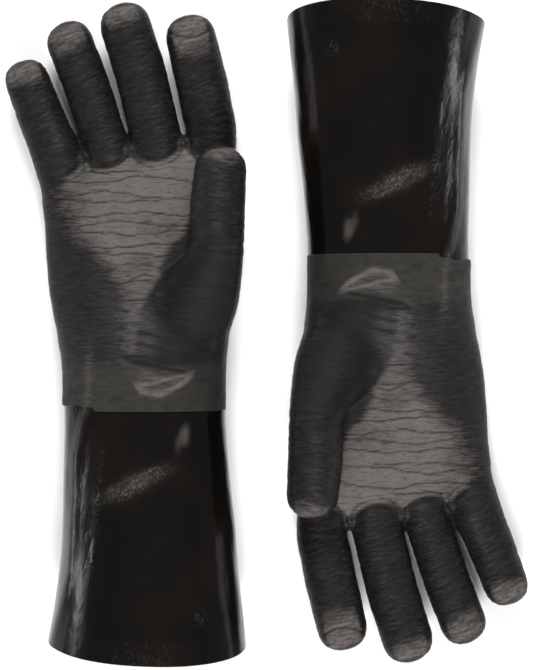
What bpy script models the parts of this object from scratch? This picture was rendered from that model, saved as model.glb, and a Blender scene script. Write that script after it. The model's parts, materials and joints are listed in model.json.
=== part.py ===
"""A pair of long rubber insulating gloves with cotton liners, lying palm up, fingers pointing opposite ways.

Both gloves have the same shape. Glove a is modelled in its own frame: millimetres, origin on the surface
under the middle of its wrist, +Y towards the fingers, +X towards the thumb, +Z out of the palm.
Glove b is glove a turned half round about the pair's vertical axis.

Each glove is a hand shell, a cuff with the grip coat's end lapped over it as a wrist band, a thumb stall
and four fingers in two sections each, all of rubber, and a cotton liner inside each of them. The rubber is
parted where the glove bends: at the wrist, at the foot of each finger and thumb, and at each middle knuckle.
"""

import math
from dataclasses import dataclass

import bmesh
import bpy
from mathutils import Matrix, Vector

MM = 0.001

# Driving dimensions, in millimetres.
WRIST_AT = (-69.0, -20.0)
RUBBER = 2.0
BAND = 0.9
LINER = 1.1
CLEARANCE = 0.35
BEND_GAP = 0.7
FINGER_FLATNESS = 0.94

# Roundness of the cross-sections: 2 is an ellipse, more is fuller at the corners.
PALM_FULLNESS = 2.4
CUFF_FULLNESS = 2.15
STALL_FULLNESS = 2.1
TIP_BLUNTNESS = 2.3

# Corners round each cross-section.
PALM_CORNERS = 20
CUFF_CORNERS = 24
STALL_CORNERS = 12

# Where the rings of a fingertip's dome lie, as a share of its radius back from the end.
DOME_SHARES = (1.0, 0.45, 0.12)

# How far a cavity is carried past the opening that it makes.
OVERRUN = 6.0

# A liner's fingertip is carried back from the rubber's over this length of its end.
DOME_REACH = 20.0

# How far inside the open end of the cuff its liner stops.
LINER_RECESS = 3.0

BAND_LENGTH = 23.5
BAND_STEP = 2.0


@dataclass(frozen=True)
class Section:
    """A cross-section: its centre and half sizes in millimetres, and the way it faces in degrees."""

    x: float
    y: float
    z: float
    half_width: float
    half_height: float
    lean: float = 0.0
    pitch: float = 0.0

    def heading(self):
        """The turn from +Y to the way that the section faces: lean is towards -X, pitch is upwards."""
        lean = Matrix.Rotation(math.radians(self.lean), 3, "Z")
        return lean @ Matrix.Rotation(math.radians(self.pitch), 3, "X")

    def moved(self, distance):
        """The same section, carried along the way that it faces."""
        step = self.heading() @ Vector((0.0, distance, 0.0))
        return Section(
            self.x + step.x,
            self.y + step.y,
            self.z + step.z,
            self.half_width,
            self.half_height,
            self.lean,
            self.pitch,
        )

    def bend_point(self):
        """The middle of its bend line, along the top of the palm side."""
        return Vector((self.x, self.y, self.z + self.half_height))

    def scaled(self, share):
        """The same section with its half sizes multiplied by share."""
        return Section(
            self.x,
            self.y,
            self.z,
            self.half_width * share,
            self.half_height * share,
            self.lean,
            self.pitch,
        )


@dataclass(frozen=True)
class Digit:
    """A finger or thumb: its foot, the lean, pitch and length of each of its sections, and its root.

    The root is the cross-sections that join it to the palm, from inside the palm outwards.
    """

    name: str
    foot: tuple
    leans: tuple
    pitches: tuple
    lengths: tuple
    radii: tuple
    root: tuple

    def section(self, distance):
        """The cross-section at this distance from the foot, along the digit's bent centreline."""
        first = self.lengths[0]
        length = sum(self.lengths)
        share = distance / length
        start, middle, end = self.radii
        knuckle = first / length
        if share < knuckle:
            radius = start + (middle - start) * share / knuckle
        else:
            radius = middle + (end - middle) * (share - knuckle) / (1.0 - knuckle)
        part = 0 if distance < first else 1
        x, y, z = self.foot
        for lean, pitch, run in zip(
            self.leans, self.pitches, (min(distance, first), max(distance - first, 0.0))
        ):
            step = Section(0, 0, 0, 1, 1, lean, pitch).heading() @ Vector((0.0, run, 0.0))
            x, y, z = x + step.x, y + step.y, z + step.z
        lean, pitch = self.leans[part], self.pitches[part]
        if abs(distance - first) <= BEND_GAP and len(self.lengths) > 1:
            lean, pitch = sum(self.leans) / 2, sum(self.pitches) / 2
        return Section(x, y, z, radius, radius * FINGER_FLATNESS, lean, pitch)

    def dome(self):
        """The rings that close the end of the digit, and its last point."""
        length = sum(self.lengths)
        radius = self.radii[-1]
        rings = []
        for share in DOME_SHARES:
            flank = (1.0 - share) ** TIP_BLUNTNESS
            width = (1.0 - flank) ** (1.0 / TIP_BLUNTNESS)
            rings.append(self.section(length - share * radius).scaled(width))
        last = self.section(length)
        return rings, Vector((last.x, last.y, last.z))


FINGERS = (
    Digit(
        "index",
        foot=(37.6, 133.4, 14.4),
        leans=(10.7, 13.4),
        pitches=(3.0, 8.0),
        lengths=(28.6, 39.8),
        radii=(14.6, 14.9, 14.2),
        root=(Section(36.2, 107.0, 15.0, 13.0, 12.0, 4.0),),
    ),
    Digit(
        "middle",
        foot=(6.1, 130.6, 14.4),
        leans=(13.5, 17.1),
        pitches=(3.0, 8.0),
        lengths=(36.3, 42.2),
        radii=(14.5, 14.9, 14.4),
        root=(Section(10.6, 104.0, 15.0, 13.0, 12.0, 10.0),),
    ),
    Digit(
        "ring",
        foot=(-22.6, 126.6, 13.4),
        leans=(18.0, 20.6),
        pitches=(3.0, 8.0),
        lengths=(36.0, 36.8),
        radii=(12.9, 13.5, 13.1),
        root=(Section(-15.6, 101.0, 15.0, 13.0, 12.0, 14.0),),
    ),
    Digit(
        "little",
        foot=(-50.4, 119.8, 14.4),
        leans=(22.0, 20.0),
        pitches=(2.0, 7.0),
        lengths=(28.0, 29.6),
        radii=(14.5, 13.3, 12.6),
        root=(Section(-45.0, 96.0, 15.0, 13.0, 12.0, 14.0),),
    ),
)
THUMB = Digit(
    "thumb",
    foot=(41.2, 66.0, 47.6),
    leans=(-2.0, -5.0),
    pitches=(-3.0, -6.0),
    lengths=(29.0, 28.4),
    radii=(15.3, 15.4, 13.8),
    root=(
        Section(24.0, 12.0, 26.0, 21.0, 18.0, 0.0, 12.0),
        Section(33.6, 40.0, 34.5, 20.6, 18.6, -8.0, 18.0),
    ),
)

# The palm, from the wrist to the web between the fingers.
PALM = (
    Section(0.0, 0.0, 26.0, 46.6, 28.0),
    Section(-0.8, 18.0, 23.0, 48.8, 25.0),
    Section(-2.2, 40.0, 19.5, 51.8, 21.5, 1.0),
    Section(-3.3, 65.0, 17.0, 53.4, 19.0, 3.0),
    Section(-3.9, 88.0, 15.4, 55.2, 17.4, 6.0),
    Section(-4.6, 106.0, 14.4, 57.0, 16.0, 9.0),
    Section(-5.6, 121.0, 14.0, 50.0, 12.5, 9.0),
)

# The gauntlet, from the wrist to its open end.
CUFF = (
    Section(0.0, 0.0, 26.0, 46.6, 28.0),
    Section(0.4, -BAND_LENGTH, 27.0, 46.3, 29.0),
    Section(1.2, -40.0, 28.2, 46.5, 30.2),
    Section(2.1, -62.5, 30.2, 47.3, 32.2),
    Section(3.1, -84.7, 32.8, 48.6, 34.8),
    Section(3.6, -106.6, 35.8, 49.8, 37.8),
    Section(3.5, -128.5, 38.9, 52.2, 40.9),
    Section(3.3, -151.0, 42.4, 55.0, 44.4, -2.5, 8.0),
)

FINISHES = {
    "grip_rubber": ((0.055, 0.052, 0.049, 1.0), 0.62),
    "smooth_rubber": ((0.012, 0.011, 0.010, 1.0), 0.22),
    "cotton": ((0.62, 0.59, 0.52, 1.0), 0.95),
}


def clear_scene():
    """Removes the objects that the file opened with."""
    for item in list(bpy.data.objects):
        bpy.data.objects.remove(item, do_unlink=True)


def new_collection(name, hidden):
    """A collection in the scene; a hidden one holds cutters and helpers."""
    group = bpy.data.collections.new(name)
    bpy.context.scene.collection.children.link(group)
    group.hide_render = hidden
    return group


def finish(name):
    """The material of that finish."""
    material = bpy.data.materials.get(name)
    if material is None:
        colour, roughness = FINISHES[name]
        material = bpy.data.materials.new(name)
        material.use_nodes = True
        shader = material.node_tree.nodes["Principled BSDF"]
        shader.inputs["Base Color"].default_value = colour
        shader.inputs["Roughness"].default_value = roughness
        shader.inputs["Metallic"].default_value = 0.0
    return material


def bulge(value, fullness):
    """The superellipse's power of a sine or cosine, keeping its sign."""
    return math.copysign(abs(value) ** (2.0 / fullness), value)


def ring(section, inset, corners, fullness):
    """Points round a section taken in by inset, pressed flat where they would be below the surface."""
    heading = section.heading()
    centre = Vector((section.x, section.y, section.z))
    points = []
    for step in range(corners):
        angle = 2.0 * math.pi * step / corners
        side = (section.half_width - inset) * bulge(math.cos(angle), fullness)
        rise = (section.half_height - inset) * bulge(math.sin(angle), fullness)
        point = centre + heading @ Vector((side, 0.0, rise))
        point.z = max(point.z, inset)
        points.append(point * MM)
    return points


def loft(name, group, rings, tip=None, closed=False):
    """A skin through rings of points in order, with a tip point at its end, or flat faces at both ends."""
    skin = bmesh.new()
    loops = [[skin.verts.new(point) for point in points] for points in rings]
    corners = len(loops[0])
    for near, far in zip(loops, loops[1:]):
        for step in range(corners):
            after = (step + 1) % corners
            skin.faces.new((near[step], far[step], far[after], near[after]))
    if tip is not None:
        pole = skin.verts.new(tip * MM)
        for step in range(corners):
            skin.faces.new((loops[-1][step], pole, loops[-1][(step + 1) % corners]))
    if closed:
        skin.faces.new(loops[0])
        if tip is None:
            skin.faces.new(list(reversed(loops[-1])))
    # The same diagonal in every layer keeps nested skins the same distance apart.
    bmesh.ops.triangulate(skin, faces=skin.faces[:], quad_method="FIXED")
    mesh = bpy.data.meshes.new(name)
    skin.to_mesh(mesh)
    skin.free()
    item = bpy.data.objects.new(name, mesh)
    group.objects.link(item)
    return item


def thicken(item, thickness):
    """Gives an open skin a wall on its inner side."""
    wall = item.modifiers.new("wall", "SOLIDIFY")
    wall.thickness = thickness * MM
    wall.offset = -1.0
    wall.use_even_offset = True


def helper(item):
    """Keeps a solid out of the model: it only cuts or joins another."""
    item.hide_render = True
    item.display_type = "WIRE"
    return item


def combine(item, other, operation):
    """Adds a Boolean modifier."""
    modifier = item.modifiers.new(operation.lower(), "BOOLEAN")
    modifier.operation = operation
    modifier.object = other
    modifier.solver = "MANIFOLD"


class Glove:
    """One glove: its placing in the pair, and the methods that make its pieces."""

    def __init__(self, suffix, turn, pieces, helpers):
        """Args: suffix marks its nodes, turn is degrees about the pair's axis, the rest are collections."""
        self.suffix = suffix
        self.pieces = pieces
        self.helpers = helpers
        self.placing = bpy.data.objects.new(f"glove_{suffix}", None)
        pieces.objects.link(self.placing)
        half_turn = Matrix.Rotation(math.radians(turn), 4, "Z")
        wrist = Vector((WRIST_AT[0] * MM, WRIST_AT[1] * MM, 0.0))
        self.placing.matrix_world = half_turn @ Matrix.Translation(wrist)

    def put(self, item, material, pivot=None):
        """Places a piece made in the glove's frame, with its origin on its bend line, and dresses it."""
        if pivot is not None:
            item.data.transform(Matrix.Translation(-pivot * MM))
            item.location = pivot * MM
        item.parent = self.placing
        item.data.materials.append(finish(material))
        return item

    def name(self, words):
        """The node's name: its words and the glove's letter."""
        return f"{words}_{self.suffix}"

    def sleeve(self, words, rings, wall, material, pivot, tip=None):
        """A tube through rings of points, with its wall on their inner side. A tip closes its far end."""
        item = loft(self.name(words), self.pieces, rings, tip)
        thicken(item, wall)
        return self.put(item, material, pivot)

    def stalls(self, digit, jointed):
        """A digit's rubber and its liner, in two sections if it has a middle knuckle that bends."""
        half_gap = BEND_GAP / 2
        first = digit.lengths[0]
        domed, end = digit.dome()
        foot = digit.section(0.0).bend_point()
        knuckle = digit.section(first).bend_point()
        near = [digit.section(half_gap), digit.section(first / 2)]
        layers = (
            ("", 0.0, RUBBER, "grip_rubber"),
            ("_liner", RUBBER + CLEARANCE, LINER, "cotton"),
        )
        for ending, inset, wall, material in layers:
            if jointed:
                base = [*near, digit.section(first - half_gap)]
                rings = [ring(section, inset, STALL_CORNERS, STALL_FULLNESS) for section in base]
                self.sleeve(f"{digit.name}_base{ending}", rings, wall, material, foot)
                far = [digit.section(first + half_gap), *domed]
                where, pivot = f"{digit.name}_tip{ending}", knuckle
            else:
                far = [*near, digit.section(first), *domed]
                where, pivot = f"{digit.name}_stall{ending}", foot
            back = domed[-1].heading() @ Vector((0.0, -inset, 0.0))
            drawn = [self.drawn_in(section, inset, end) for section in far]
            rings = [ring(section, inset, STALL_CORNERS, STALL_FULLNESS) for section in drawn]
            self.sleeve(where, rings, wall, material, pivot, end + back)

    def drawn_in(self, section, inset, end):
        """Carries a dome's ring back from the end, so that a liner's dome stays clear of the rubber's."""
        away = (Vector((section.x, section.y, section.z)) - end).length
        share = max(0.0, 1.0 - away / DOME_REACH)
        return section.moved(-inset * share)

    def hand_solid(self, words, inset, overrun):
        """The palm with the feet of its fingers and thumb, as one closed solid taken in by inset.

        A cavity runs on past each opening by overrun; its shape up to there is the same.
        """
        first, *others, last = PALM
        start = first.moved(BEND_GAP / 2)
        palm = [start, *others, last.moved(-inset)]
        if overrun:
            palm.insert(0, start.moved(-overrun))
        rings = [ring(section, inset, PALM_CORNERS, PALM_FULLNESS) for section in palm]
        solid = loft(self.name(words), self.helpers, rings, closed=True)
        for digit in (THUMB, *FINGERS):
            self.join_root(solid, words, digit, inset, overrun)
        return solid

    def join_root(self, solid, words, digit, inset, overrun):
        """Joins a digit's root to a solid, as a closed stub that ends at the digit's foot."""
        start, *others = digit.root
        foot = digit.section(0.0).moved(-BEND_GAP / 2)
        sections = [start.moved(inset), *others, foot]
        if overrun:
            sections.append(foot.moved(overrun))
        rings = [ring(section, inset, STALL_CORNERS, STALL_FULLNESS) for section in sections]
        stub = helper(loft(self.name(f"{words}_{digit.name}_root"), self.helpers, rings, closed=True))
        combine(solid, stub, "UNION")

    def hand_layer(self, words, layer, material):
        """A layer of the hand: a closed solid less its cavity, open at the wrist and at every digit."""
        inset, wall = layer
        outside = self.hand_solid(f"{words}_outside", inset, 0.0)
        cavity = helper(self.hand_solid(f"{words}_cavity", inset + wall, OVERRUN))
        combine(outside, cavity, "DIFFERENCE")
        graph = bpy.context.evaluated_depsgraph_get()
        mesh = bpy.data.meshes.new_from_object(outside.evaluated_get(graph))
        helper(outside)
        item = bpy.data.objects.new(self.name(words), mesh)
        mesh.materials.clear()
        self.pieces.objects.link(item)
        return self.put(item, material)

    def gauntlet(self):
        """The cuff, the band of grip coat lapped over its wrist end, and its liner."""
        bend = CUFF[0].bend_point()
        wrist, lap_end, *rest = CUFF
        lapped = (lap_end, wrist.moved(-BEND_GAP / 2))
        bare = (*reversed(rest), lap_end.moved(-BAND_STEP))
        under = BAND + CLEARANCE
        inside = under + RUBBER + CLEARANCE
        outline = self.cuff_rings(bare, 0.0) + self.cuff_rings(lapped, under)
        self.sleeve("cuff", outline, RUBBER, "smooth_rubber", bend)
        self.sleeve("wrist_band", self.cuff_rings(lapped, 0.0), BAND, "grip_rubber", bend)
        lined = (rest[-1].moved(LINER_RECESS), *reversed(rest[1:-1]), *lapped)
        self.sleeve("cuff_liner", self.cuff_rings(lined, inside), LINER, "cotton", bend)

    def cuff_rings(self, sections, inset):
        """Rings of points round sections of the cuff."""
        return [ring(section, inset, CUFF_CORNERS, CUFF_FULLNESS) for section in sections]

    def build(self):
        """Makes every piece of the glove."""
        self.hand_layer("hand_shell", (0.0, RUBBER), "grip_rubber")
        self.hand_layer("hand_liner", (RUBBER + CLEARANCE, LINER), "cotton")
        self.gauntlet()
        for digit in FINGERS:
            self.stalls(digit, jointed=True)
        self.stalls(THUMB, jointed=False)


def main():
    """Builds both gloves of the pair."""
    clear_scene()
    pieces = new_collection("insulating gloves", hidden=False)
    helpers = new_collection("helpers", hidden=True)
    for suffix, turn in (("a", 0.0), ("b", 180.0)):
        Glove(suffix, turn, pieces, helpers).build()


main()
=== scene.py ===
"""Looks for a pair of long lined rubber insulating gloves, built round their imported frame.

Both gloves are one shape. It is modelled once in the glove's own space: millimetres, with the origin on
the surface under the middle of the wrist, +Y towards the fingers, +X towards the thumb and +Z out of the
palm. Glove a is that shape put at its wrist, and glove b is glove a turned half round about the pair's
upright axis.
"""

import sys

import itertools
import json
import logging
import math
from collections.abc import Callable, Iterable, Sequence
from dataclasses import astuple, dataclass, replace
from enum import Enum
from typing import Any

import bmesh
import bpy
import numpy as np
from mathutils import Matrix, Vector

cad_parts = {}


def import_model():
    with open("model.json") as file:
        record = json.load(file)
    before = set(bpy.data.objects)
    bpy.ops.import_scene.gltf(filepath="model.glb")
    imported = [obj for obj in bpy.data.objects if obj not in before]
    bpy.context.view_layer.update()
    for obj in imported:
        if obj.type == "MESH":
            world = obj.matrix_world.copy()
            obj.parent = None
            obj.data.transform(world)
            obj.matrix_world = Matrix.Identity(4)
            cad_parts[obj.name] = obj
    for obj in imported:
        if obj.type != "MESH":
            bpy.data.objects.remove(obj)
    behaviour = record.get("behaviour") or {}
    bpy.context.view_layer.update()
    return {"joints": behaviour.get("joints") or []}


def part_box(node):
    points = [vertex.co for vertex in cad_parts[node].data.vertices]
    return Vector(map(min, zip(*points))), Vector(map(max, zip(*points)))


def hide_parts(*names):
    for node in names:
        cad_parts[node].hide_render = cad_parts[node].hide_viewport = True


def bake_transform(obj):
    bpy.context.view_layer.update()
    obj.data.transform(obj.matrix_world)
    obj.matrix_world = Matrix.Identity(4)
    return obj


log = logging.getLogger("gloves")

MM = 0.001
FINGER_NAMES = ("index", "middle", "ring", "little")

# The rubber's wall, the grip coat's thickness where it laps over the cuff, and the liner inside them.
RUBBER_WALL = 2.0
LAP_WALL = 0.9
THIN_SHARE = LAP_WALL / RUBBER_WALL
LINER_INSET = 2.35
LINER_WALL = 1.1

# Where the skin turns from one body to the next, as distances along a digit or the arm.
FOOT_TURN = (3.0, 16.0)
KNUCKLE_TURN = 9.0
THUMB_TURN = (1.0, 15.0)
WRIST_TURN = 13.0
WRIST_RISE = 27.0
TOUCH_SOFTNESS = 0.8

# The long fold on the little finger's side of the arm: places along the arm, and how far across it runs.
ARM_LINE = (
    (-150.0, -130.0, -110.0, -80.0, -48.0, -32.0, -22.0, -5.0, 10.0, 25.0),
    (-48.0, -42.5, -38.0, -37.2, -36.8, -33.5, -30.0, -28.8, -30.0, -33.0),
)


class Side(Enum):
    """The two gloves, each with its turn about the pair's upright axis, in degrees."""

    A = ("a", 0.0)
    B = ("b", 180.0)

    @property
    def letter(self) -> str:
        """The letter that ends the names of this glove's pieces."""
        return self.value[0]

    @property
    def turn(self) -> float:
        """Degrees about the pair's upright axis."""
        return self.value[1]


class Layer(Enum):
    """The layers of a glove: distance in from the outline, wall, smallest feature and smoothing rounds."""

    RUBBER = (0.0, RUBBER_WALL, 0.9, 20)
    LINER = (LINER_INSET, LINER_WALL, 2.2, 5)


def smoothstep(low: float, high: float, values: np.ndarray) -> np.ndarray:
    """Rises smoothly from 0 at low to 1 at high. With low above high it falls instead."""
    share = np.clip((values - low) / (high - low), 0.0, 1.0)
    return share * share * (3.0 - 2.0 * share)


def plateau(values: np.ndarray, rise: tuple[float, float], fall: tuple[float, float]) -> np.ndarray:
    """1 between a soft rise and a soft fall, and 0 beyond them."""
    return smoothstep(*rise, values) * (1.0 - smoothstep(*fall, values))


def bell(values: np.ndarray, width: float) -> np.ndarray:
    """1 where values are 0, falling to nothing over about twice the width."""
    return np.exp(-((values / width) ** 2))


def grain(points: np.ndarray, seed: int) -> np.ndarray:
    """Smooth lattice noise.

    Args:
        points: Places to read, one row each, with lattice cells one unit across.
        seed: Picks one of many patterns.

    Returns:
        A value from -1 to 1 for each place.
    """
    cell = np.floor(points).astype(np.int64)
    part = points - cell
    ease = part * part * (3.0 - 2.0 * part)
    total = np.zeros(len(points))
    primes = np.array((73856093, 19349663, 83492791), np.int64)
    for corner in itertools.product((0, 1), repeat=3):
        code = ((cell + np.array(corner)) * primes).sum(1) + seed * 15485863
        code = (code ^ (code >> 13)) * 1274126177
        value = ((code ^ (code >> 16)) & 0xFFFF) / 32767.5 - 1.0
        weight = np.where(np.array(corner) == 1, ease, 1.0 - ease).prod(1)
        total += value * weight
    return total


def fractal(points: np.ndarray, seed: int, octaves: int = 3) -> np.ndarray:
    """Lattice noise with finer, fainter copies of itself added, from about -1 to 1."""
    total = np.zeros(len(points))
    strength, scale, whole = 1.0, 1.0, 0.0
    for octave in range(octaves):
        total += strength * grain(points * scale, seed + octave)
        whole += strength
        strength, scale = strength * 0.5, scale * 2.03
    return total / whole


@dataclass(frozen=True)
class Slice:
    """A cross-section: its centre and half sizes, the way it faces in degrees, and how full it is."""

    x: float
    y: float
    z: float
    half_width: float
    half_height: float
    lean: float = 0.0
    pitch: float = 0.0
    fullness: float = 2.1

    def heading(self) -> Matrix:
        """The turn from +Y to the way that the slice faces: lean is towards -X, pitch is upwards."""
        lean = Matrix.Rotation(math.radians(self.lean), 3, "Z")
        return lean @ Matrix.Rotation(math.radians(self.pitch), 3, "X")

    @property
    def centre(self) -> Vector:
        """Its centre."""
        return Vector((self.x, self.y, self.z))

    def inset(self, depth: float) -> "Slice":
        """The slice taken in by depth all round."""
        width, height = max(self.half_width - depth, 0.2), max(self.half_height - depth, 0.2)
        return replace(self, half_width=width, half_height=height)

    def moved(self, distance: float) -> "Slice":
        """The slice carried along the way that it faces."""
        step = self.heading() @ Vector((0.0, distance, 0.0))
        return replace(self, x=self.x + step.x, y=self.y + step.y, z=self.z + step.z)

    def point(self, turn: float) -> Vector:
        """The point of the outline at that angle from +X, in radians."""
        power = 2.0 / self.fullness
        side = math.copysign(abs(math.cos(turn)) ** power, math.cos(turn)) * self.half_width
        rise = math.copysign(abs(math.sin(turn)) ** power, math.sin(turn)) * self.half_height
        return self.centre + self.heading() @ Vector((side, 0.0, rise))


def flowing(slices: Sequence[Slice], steps: int) -> list[Slice]:
    """Slices on a smooth curve through the given ones.

    Args:
        slices: At least two slices, in order.
        steps: How many slices each gap becomes.

    Returns:
        The finer run, which starts and ends with the given slices.
    """
    rows = [np.array(astuple(piece)) for piece in slices]
    rows = [2 * rows[0] - rows[1], *rows, 2 * rows[-1] - rows[-2]]
    made = []
    for before, near, far, after in zip(rows, rows[1:], rows[2:], rows[3:]):
        for step in range(steps):
            t = step / steps
            rise = (far - before) * t + (2 * before - 5 * near + 4 * far - after) * t**2
            made.append(Slice(*(near + 0.5 * (rise + (3 * near - before - 3 * far + after) * t**3))))
    return [*made, slices[-1]]


class Form:
    """Skins under construction in the glove's space, shaped by extruding a circle from slice to slice."""

    def __init__(self) -> None:
        """Starts empty, with a layer that remembers each vertex's angle round its slice."""
        self.skin = bmesh.new()
        self.turn = self.skin.verts.layers.float.new("turn")

    def tube(self, slices: Sequence[Slice], corners: int, closed: bool) -> list[bmesh.types.BMVert]:
        """Adds a tube through slices.

        Args:
            slices: The cross-sections, in order along the tube.
            corners: How many vertices go round it.
            closed: Whether both of its ends are capped.

        Returns:
            The vertices of its first ring.
        """
        first = bmesh.ops.create_circle(self.skin, segments=corners, radius=1.0)["verts"]
        for vert in first:
            vert[self.turn] = math.atan2(vert.co.y, vert.co.x)
        self._lay(first, slices[0])
        edges = list({edge for vert in first for edge in vert.link_edges})
        ends = [edges]
        for piece in slices[1:]:
            made = bmesh.ops.extrude_edge_only(self.skin, edges=edges)["geom"]
            ring = {part for part in made if isinstance(part, bmesh.types.BMVert)}
            self._lay(ring, piece)
            sides = [part for part in made if isinstance(part, bmesh.types.BMEdge)]
            edges = [side for side in sides if ring.issuperset(side.verts)]
        if closed:
            for rim in (*ends, edges):
                bmesh.ops.contextual_create(self.skin, geom=rim)
        return first

    def _lay(self, verts: Iterable[bmesh.types.BMVert], piece: Slice) -> None:
        """Puts vertices on the outline of a slice, each at its own angle."""
        for vert in verts:
            vert.co = piece.point(vert[self.turn])

    def bead(self, centre: Vector, radii: tuple[float, float, float]) -> None:
        """Adds an egg shape."""
        shape = Matrix.Translation(centre) @ Matrix.Diagonal((*radii, 1.0))
        bmesh.ops.create_uvsphere(self.skin, u_segments=24, v_segments=16, radius=1.0, matrix=shape)

    def mesh(self, name: str) -> bpy.types.Mesh:
        """Closes the work and gives its mesh, with faces pointing outwards."""
        bmesh.ops.recalc_face_normals(self.skin, faces=self.skin.faces[:])
        middle = sum((vert.co for vert in self.skin.verts), Vector()) / len(self.skin.verts)
        outward = 0.0
        for face in self.skin.faces:
            away = face.calc_center_median() - middle
            outward += face.calc_area() * (face.normal.x * away.x + face.normal.z * away.z)
        if outward < 0.0:
            bmesh.ops.reverse_faces(self.skin, faces=self.skin.faces[:])
        made = bpy.data.meshes.new(name)
        self.skin.to_mesh(made)
        self.skin.free()
        return made


def linked(name: str, data: Any) -> bpy.types.Object:
    """Adds an object with that data to the scene."""
    item = bpy.data.objects.new(name, data)
    bpy.context.scene.collection.objects.link(item)
    return item


def gathered(items: Any, name: str, width: int = 1, kind: type = np.float32) -> np.ndarray:
    """Reads one property of every item of a mesh.

    Args:
        items: The items.
        name: The property.
        width: How many numbers it has.
        kind: The type of the numbers.

    Returns:
        A number for each item, or a row of them.
    """
    values = np.zeros(len(items) * width, kind)
    items.foreach_get(name, values)
    return values.reshape(-1, width) if width > 1 else values


def settled(
    mesh: bpy.types.Mesh,
    modifiers: Sequence[tuple[str, dict[str, Any]]],
    weights: np.ndarray | None = None,
) -> bpy.types.Mesh:
    """Runs modifiers over a mesh and gives the result as a new mesh, removing the old one.

    Args:
        mesh: The mesh to change.
        modifiers: Each modifier's type and its settings, in order.
        weights: A weight for each vertex, for the vertex group "share" that a modifier may name.

    Returns:
        The changed mesh, under the same name.
    """
    item = linked("work", mesh)
    if weights is not None:
        group = item.vertex_groups.new(name="share")
        for number in np.flatnonzero(weights > 0.01):
            group.add([int(number)], float(weights[number]), "REPLACE")
    for kind, settings in modifiers:
        modifier = item.modifiers.new(kind.lower(), kind)
        for name, value in settings.items():
            setattr(modifier, name, value)
    graph = bpy.context.evaluated_depsgraph_get()
    made = bpy.data.meshes.new_from_object(item.evaluated_get(graph))
    name = mesh.name
    bpy.data.objects.remove(item)
    bpy.data.meshes.remove(mesh)
    made.name = name
    return made


@dataclass(frozen=True)
class Limb:
    """A finger or the thumb: its centreline from foot to knuckle to end, its radii there, and its root."""

    name: str
    foot: Vector
    knuckle: Vector
    end: Vector
    radii: tuple[float, float, float]
    root: tuple[Slice, ...]

    FLATNESS = 0.94
    DOME_STEPS = 7
    BLUNTNESS = 2.3

    @property
    def spans(self) -> tuple[float, float]:
        """The lengths from foot to knuckle and from knuckle to end."""
        return (self.knuckle - self.foot).length, (self.end - self.knuckle).length

    def facing(self, part: int) -> tuple[float, float]:
        """Lean and pitch in degrees of the first or second part of the centreline."""
        run = (self.end - self.knuckle) if part else (self.knuckle - self.foot)
        return math.degrees(math.atan2(-run.x, run.y)), math.degrees(math.asin(run.z / run.length))

    def at(self, distance: float) -> Slice:
        """The cross-section at that distance from the foot."""
        first, second = self.spans
        start, middle, end = self.radii
        if distance <= first:
            share = distance / first
            centre, radius = self.foot.lerp(self.knuckle, share), start + (middle - start) * share
        else:
            share = (distance - first) / second
            centre, radius = self.knuckle.lerp(self.end, share), middle + (end - middle) * share
        turned = float(smoothstep(-10.0, 10.0, np.array(distance - first)))
        near, far = self.facing(0), self.facing(1)
        lean, pitch = (a + (b - a) * turned for a, b in zip(near, far))
        return Slice(*centre, radius, radius * self.FLATNESS, lean, pitch)

    def slices(self, inset: float) -> list[Slice]:
        """The whole digit from inside the palm to its domed end, taken in by inset."""
        first, second = self.spans
        radius = self.radii[-1]
        dome = first + second - radius
        marks = (0.0, first * 0.5, first - 5.0, first + 5.0, (first + 5.0 + dome) / 2)
        run = [*self.root, *(self.at(mark) for mark in marks), self.at(dome)]
        made = [piece.inset(inset) for piece in flowing(run, 4)]
        base = self.at(dome)
        for step in range(1, self.DOME_STEPS + 1):
            angle = math.radians(88.0) * step / self.DOME_STEPS
            reach = (radius - inset) * math.sin(angle)
            width = (1.0 - math.sin(angle) ** self.BLUNTNESS) ** (1.0 / self.BLUNTNESS)
            cut = base.moved(reach).inset(inset)
            sizes = {"half_width": cut.half_width * width, "half_height": cut.half_height * width}
            made.append(replace(cut, **sizes))
        return made

    def survey(self, points: np.ndarray, normals: np.ndarray) -> dict[str, np.ndarray]:
        """Where points lie about the digit.

        Args:
            points: Places on the skin, one row each.
            normals: The skin's normals there.

        Returns:
            Arrays named along (from the foot), side (across) and close (1 on its surface).
        """
        first, second = self.spans
        foot, knuckle, end = (np.array(place) for place in (self.foot, self.knuckle, self.end))
        ways = ((knuckle - foot) / first, (end - knuckle) / second)
        near = (points - foot) @ ways[0]
        far = (points - knuckle) @ ways[1]
        on_first = near < first
        along = np.where(on_first, near, first + np.maximum(far, 0.0))
        way = np.where(on_first[:, None], ways[0], ways[1])
        start = np.where(on_first[:, None], foot, knuckle)
        run = np.where(on_first, near, far)
        away = points - start - way * run[:, None]
        across = np.stack((way[:, 1], -way[:, 0], np.zeros(len(points))), 1)
        across /= np.linalg.norm(across, axis=1)[:, None]
        radius = np.interp(along, (0.0, first, first + second), self.radii)
        outwards = (normals * away).sum(1) > -0.15 * radius
        close = np.linalg.norm(away, axis=1) / radius
        return {
            "along": along,
            "side": (away * across).sum(1),
            "close": np.where(outwards | (along < 1.0), close, 9.0),
        }


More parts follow.
